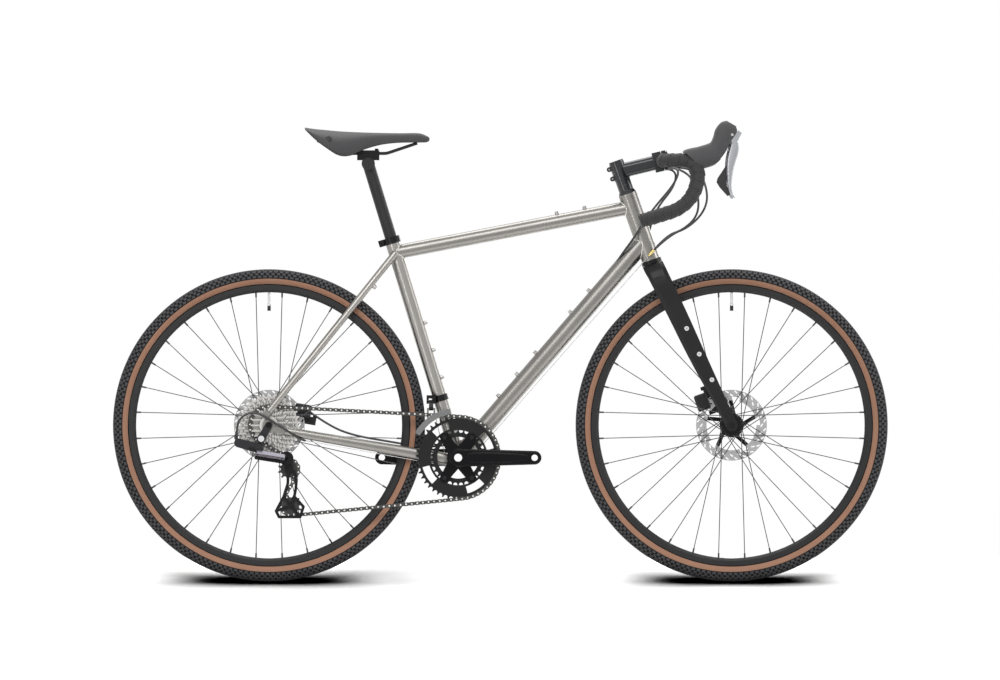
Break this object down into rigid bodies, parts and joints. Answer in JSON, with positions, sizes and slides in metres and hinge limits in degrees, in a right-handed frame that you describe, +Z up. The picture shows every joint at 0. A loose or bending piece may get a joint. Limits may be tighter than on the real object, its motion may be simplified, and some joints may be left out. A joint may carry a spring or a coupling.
{
  "type": "gravel bicycle",
  "caption": "Gravel bicycle with a metal diamond frame, rigid fork, drop handlebar, disc brakes, double crankset, wide tan-wall tyres and no pedals.",
  "frame": {"origin": "on the ground, midway along the bike and on its plane of symmetry", "axes": "+X towards the front wheel, +Y to the rider's left, +Z up"},
  "size_m": [1.7488, 0.5048, 1.0386],
  "materials": {
    "titanium": "brushed",
    "black_metal": "satin",
    "gloss_black": "gloss",
    "dark_rubber": "matte",
    "tyre": "matte",
    "silver": "satin",
    "steel": "satin",
    "lever_grey": "satin",
    "black_plastic": "matte",
    "tape": "matte",
    "saddle": "matte"
  },
  "bodies": {
    "frame": {"head_tube": "titanium", "top_tube": "titanium", "down_tube": "titanium", "seat_tube": "titanium", "bottom_bracket_shell": "titanium", "chainstays": "titanium", "seatstays": "titanium", "dropouts": "titanium", "rear_axle": "black_metal", "frame_bearings": "black_metal", "seat_collar": "black_metal", "frame_bolts": "steel", "rear_caliper": "black_metal", "front_derailleur_clamp": "black_metal", "derailleur_mount": "black_metal", "frame_cables": "dark_rubber", "chain": "steel"},
    "steering": {"fork": "gloss_black", "front_axle": "black_metal", "headset_spacers": "black_metal", "stem": "black_metal", "stem_faceplate": "black_metal", "stem_bolts": "steel", "handlebar": "black_metal", "bar_tape": "tape", "lever_hoods": "dark_rubber", "front_caliper": "black_metal", "control_cables": "dark_rubber"},
    "front_wheel": {"front_tyre": "tyre", "front_inner_tube": "dark_rubber", "front_rim": "black_metal", "front_spokes": "steel", "front_hub": "black_metal", "front_rotor": "steel"},
    "rear_wheel": {"rear_tyre": "tyre", "rear_inner_tube": "dark_rubber", "rear_rim": "black_metal", "rear_spokes": "steel", "rear_hub": "black_metal", "rear_rotor": "steel"},
    "crankset": {"crank_right": "black_metal", "crank_left": "black_metal", "chainrings": "black_metal"},
    "cassette": {"cassette": "silver"},
    "derailleur_outer_link": {"derailleur_outer_link": "silver"},
    "derailleur_inner_link": {"derailleur_inner_link": "black_metal"},
    "derailleur_knuckle": {"derailleur_cage_knuckle": "black_metal"},
    "derailleur_cage": {"derailleur_cage": "black_metal"},
    "guide_pulley": {"guide_pulley": "black_plastic"},
    "tension_pulley": {"tension_pulley": "black_plastic"},
    "front_derailleur_link": {"front_derailleur_link": "black_metal"},
    "front_derailleur_cage": {"front_derailleur_cage": "steel"},
    "brake_lever_left": {"brake_lever_left": "lever_grey"},
    "brake_lever_right": {"brake_lever_right": "lever_grey"},
    "shift_paddle_left": {"shift_paddle_left": "black_plastic"},
    "shift_paddle_right": {"shift_paddle_right": "black_plastic"},
    "seatpost": {"seatpost": "black_metal"},
    "saddle_clamp": {"saddle_clamp": "black_metal"},
    "saddle": {"saddle_cover": "saddle", "saddle_rails": "black_metal"}
  },
  "joints": [
    {"name": "steering", "type": "hinge", "parent": "frame", "child": "steering", "pos_m": [0.33997, 0, 0.72574], "axis": [-0.3338, 0, 0.9426], "range_deg": [-60, 60], "deforming": ["control_cables"]},
    {"name": "front_wheel_spin", "type": "hinge", "parent": "steering", "child": "front_wheel", "pos_m": [0.522, 0, 0.3525], "axis": [0, 1, 0], "continuous": true},
    {"name": "rear_wheel_spin", "type": "hinge", "parent": "frame", "child": "rear_wheel", "pos_m": [-0.522, 0, 0.3525], "axis": [0, 1, 0], "continuous": true},
    {"name": "crank_spin", "type": "hinge", "parent": "frame", "child": "crankset", "pos_m": [-0.0952, 0, 0.2795], "axis": [0, 1, 0], "continuous": true, "deforming": ["chain"]},
    {"name": "cassette_spin", "type": "hinge", "parent": "frame", "child": "cassette", "pos_m": [-0.522, 0, 0.3525], "axis": [0, 1, 0], "continuous": true},
    {"name": "derailleur_swing", "type": "hinge", "parent": "frame", "child": "derailleur_outer_link", "pos_m": [-0.547, -0.094, 0.29], "axis": [0.1281, 0.5736, 0.8091], "range_deg": [-14, 14], "stiffness_Nm_per_rad": 1.5},
    {"name": "derailleur_inner_swing", "type": "hinge", "parent": "frame", "child": "derailleur_inner_link", "pos_m": [-0.54826, -0.08253, 0.28207], "axis": [0.1281, 0.5736, 0.8091], "range_deg": [-14, 14]},
    {"name": "derailleur_knuckle_swing", "type": "hinge", "parent": "derailleur_outer_link", "child": "derailleur_knuckle", "pos_m": [-0.4907, -0.094, 0.28108], "axis": [0.1281, 0.5736, 0.8091], "range_deg": [-14, 14], "deforming": ["chain"]},
    {"name": "derailleur_cage_swing", "type": "hinge", "parent": "derailleur_knuckle", "child": "derailleur_cage", "pos_m": [-0.482, -0.0465, 0.2785], "axis": [0, 1, 0], "range_deg": [-25, 35], "stiffness_Nm_per_rad": 3, "deforming": ["chain"]},
    {"name": "guide_pulley_spin", "type": "hinge", "parent": "derailleur_cage", "child": "guide_pulley", "pos_m": [-0.47701, -0.0465, 0.2535], "axis": [0, 1, 0], "continuous": true},
    {"name": "tension_pulley_spin", "type": "hinge", "parent": "derailleur_cage", "child": "tension_pulley", "pos_m": [-0.47206, -0.0465, 0.1715], "axis": [0, 1, 0], "continuous": true},
    {"name": "front_derailleur_swing", "type": "hinge", "parent": "frame", "child": "front_derailleur_link", "pos_m": [-0.15613, -0.02325, 0.40588], "axis": [1, 0, 0], "range_deg": [0, 20], "stiffness_Nm_per_rad": 1.5},
    {"name": "front_derailleur_cage_swing", "type": "hinge", "parent": "front_derailleur_link", "child": "front_derailleur_cage", "pos_m": [-0.15613, -0.02925, 0.38988], "axis": [1, 0, 0], "range_deg": [-20, 0], "deforming": ["chain"]},
    {"name": "brake_lever_left_pull", "type": "hinge", "parent": "steering", "child": "brake_lever_left", "pos_m": [0.52137, 0.212, 1.00662], "axis": [0, 1, 0], "range_deg": [0, 12], "stiffness_Nm_per_rad": 1.2},
    {"name": "brake_lever_right_pull", "type": "hinge", "parent": "steering", "child": "brake_lever_right", "pos_m": [0.52137, -0.212, 1.00662], "axis": [0, 1, 0], "range_deg": [0, 12], "stiffness_Nm_per_rad": 1.2},
    {"name": "shift_paddle_left_push", "type": "hinge", "parent": "brake_lever_left", "child": "shift_paddle_left", "pos_m": [0.52287, 0.2011, 0.97373], "axis": [-1, 0, 0], "range_deg": [0, 20], "stiffness_Nm_per_rad": 0.3},
    {"name": "shift_paddle_right_push", "type": "hinge", "parent": "brake_lever_right", "child": "shift_paddle_right", "pos_m": [0.52287, -0.2011, 0.97373], "axis": [1, 0, 0], "range_deg": [0, 20], "stiffness_Nm_per_rad": 0.3},
    {"name": "seatpost_height", "type": "slide", "parent": "frame", "child": "seatpost", "axis": [-0.2924, 0, 0.9563], "range_m": [-0.06, 0.04]},
    {"name": "saddle_tilt", "type": "hinge", "parent": "seatpost", "child": "saddle_clamp", "pos_m": [-0.2981, 0, 0.94318], "axis": [0, 1, 0], "range_deg": [-8, 8]},
    {"name": "saddle_fore_aft", "type": "slide", "parent": "saddle_clamp", "child": "saddle", "axis": [1, 0, 0], "range_m": [-0.01, 0.01]}
  ],
  "couplings": [
    {"joint": "cassette_spin", "follows": "crank_spin", "ratio": 2.1905},
    {"joint": "guide_pulley_spin", "follows": "crank_spin", "ratio": -4.1818},
    {"joint": "tension_pulley_spin", "follows": "crank_spin", "ratio": 4.1818},
    {"joint": "derailleur_inner_swing", "follows": "derailleur_swing", "ratio": 1},
    {"joint": "derailleur_knuckle_swing", "follows": "derailleur_swing", "ratio": -1},
    {"joint": "front_derailleur_cage_swing", "follows": "front_derailleur_swing", "ratio": -1}
  ]
}
